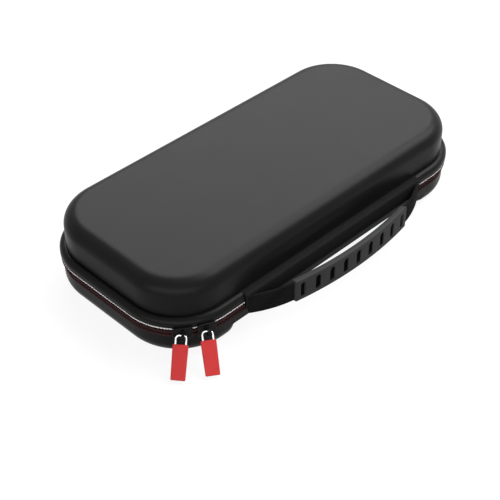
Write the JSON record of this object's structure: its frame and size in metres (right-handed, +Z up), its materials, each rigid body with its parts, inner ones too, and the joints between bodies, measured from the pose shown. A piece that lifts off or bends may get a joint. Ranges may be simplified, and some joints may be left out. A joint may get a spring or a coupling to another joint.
{
  "type": "portable game console case",
  "caption": "Zippered hard-shell travel case for a hand-held game console, with a webbing carry handle, rubber grip and red zip pulls.",
  "frame": {"origin": "middle of the case's flat base, on the surface it stands on", "axes": "+X along the case, the handle at the front (-Y), the cloth hinge at the back (+Y), +Z up"},
  "size_m": [0.27, 0.1465, 0.0512],
  "materials": {
    "shell": "smooth matt coating on moulded foam board",
    "zip_tape": "woven tape, dark with a red cast",
    "white_teeth": "white moulded coil",
    "red_teeth": "dark red moulded coil",
    "binding": "close woven cloth",
    "webbing": "black woven webbing",
    "grip_rubber": "dark grey moulded rubber",
    "fleece": "short fleece lining",
    "elastic": "black woven elastic",
    "mesh": "open knitted mesh",
    "black_metal": "black baked enamel",
    "bright_wire": "bright plated wire",
    "red_rubber": "satin red rubber"
  },
  "bodies": {
    "base": {"lower_shell": "shell", "zipper_tape_lower": "zip_tape", "zipper_teeth_lower": "red_teeth", "spine_strip": "binding", "console_cradle": "fleece", "console_strap_left": "elastic", "console_strap_right": "elastic"},
    "lid": {"upper_shell": "shell", "zipper_tape_upper": "zip_tape", "zipper_teeth_upper": "white_teeth", "handle_base_strip": "binding", "handle_web": "webbing", "handle_grip": "grip_rubber", "mesh_pocket": "mesh", "mesh_pocket_hem": "elastic"},
    "slider_left_body": {"slider_left": "black_metal"},
    "slider_right_body": {"slider_right": "black_metal"},
    "pull_left_body": {"pull_wire_left": "bright_wire", "pull_tab_left": "red_rubber"},
    "pull_right_body": {"pull_wire_right": "bright_wire", "pull_tab_right": "red_rubber"}
  },
  "joints": [
    {"name": "lid_hinge", "type": "hinge", "parent": "base", "child": "lid", "pos_m": [0, 0.0635, 0.02045], "axis": [-1, 0, 0], "range_deg": [0, 145], "deforming": ["spine_strip"]},
    {"name": "slider_left_run", "type": "hinge", "parent": "base", "child": "slider_left_body", "pos_m": [-0.0938, -0.0248, 0.02045], "axis": [0, 0, 1], "range_deg": [-49, 0]},
    {"name": "slider_right_run", "type": "hinge", "parent": "base", "child": "slider_right_body", "pos_m": [-0.0938, -0.0248, 0.02045], "axis": [0, 0, 1], "range_deg": [0, 19]},
    {"name": "pull_left_swing", "type": "hinge", "parent": "slider_left_body", "child": "pull_left_body", "pos_m": [-0.12072, -0.05677, 0.02045], "axis": [-0.6198, 0.7848, 0], "range_deg": [-40, 130]},
    {"name": "pull_right_swing", "type": "hinge", "parent": "slider_right_body", "child": "pull_right_body", "pos_m": [-0.10789, -0.06415, 0.02045], "axis": [-0.8329, 0.5534, 0], "range_deg": [-40, 130]}
  ]
}
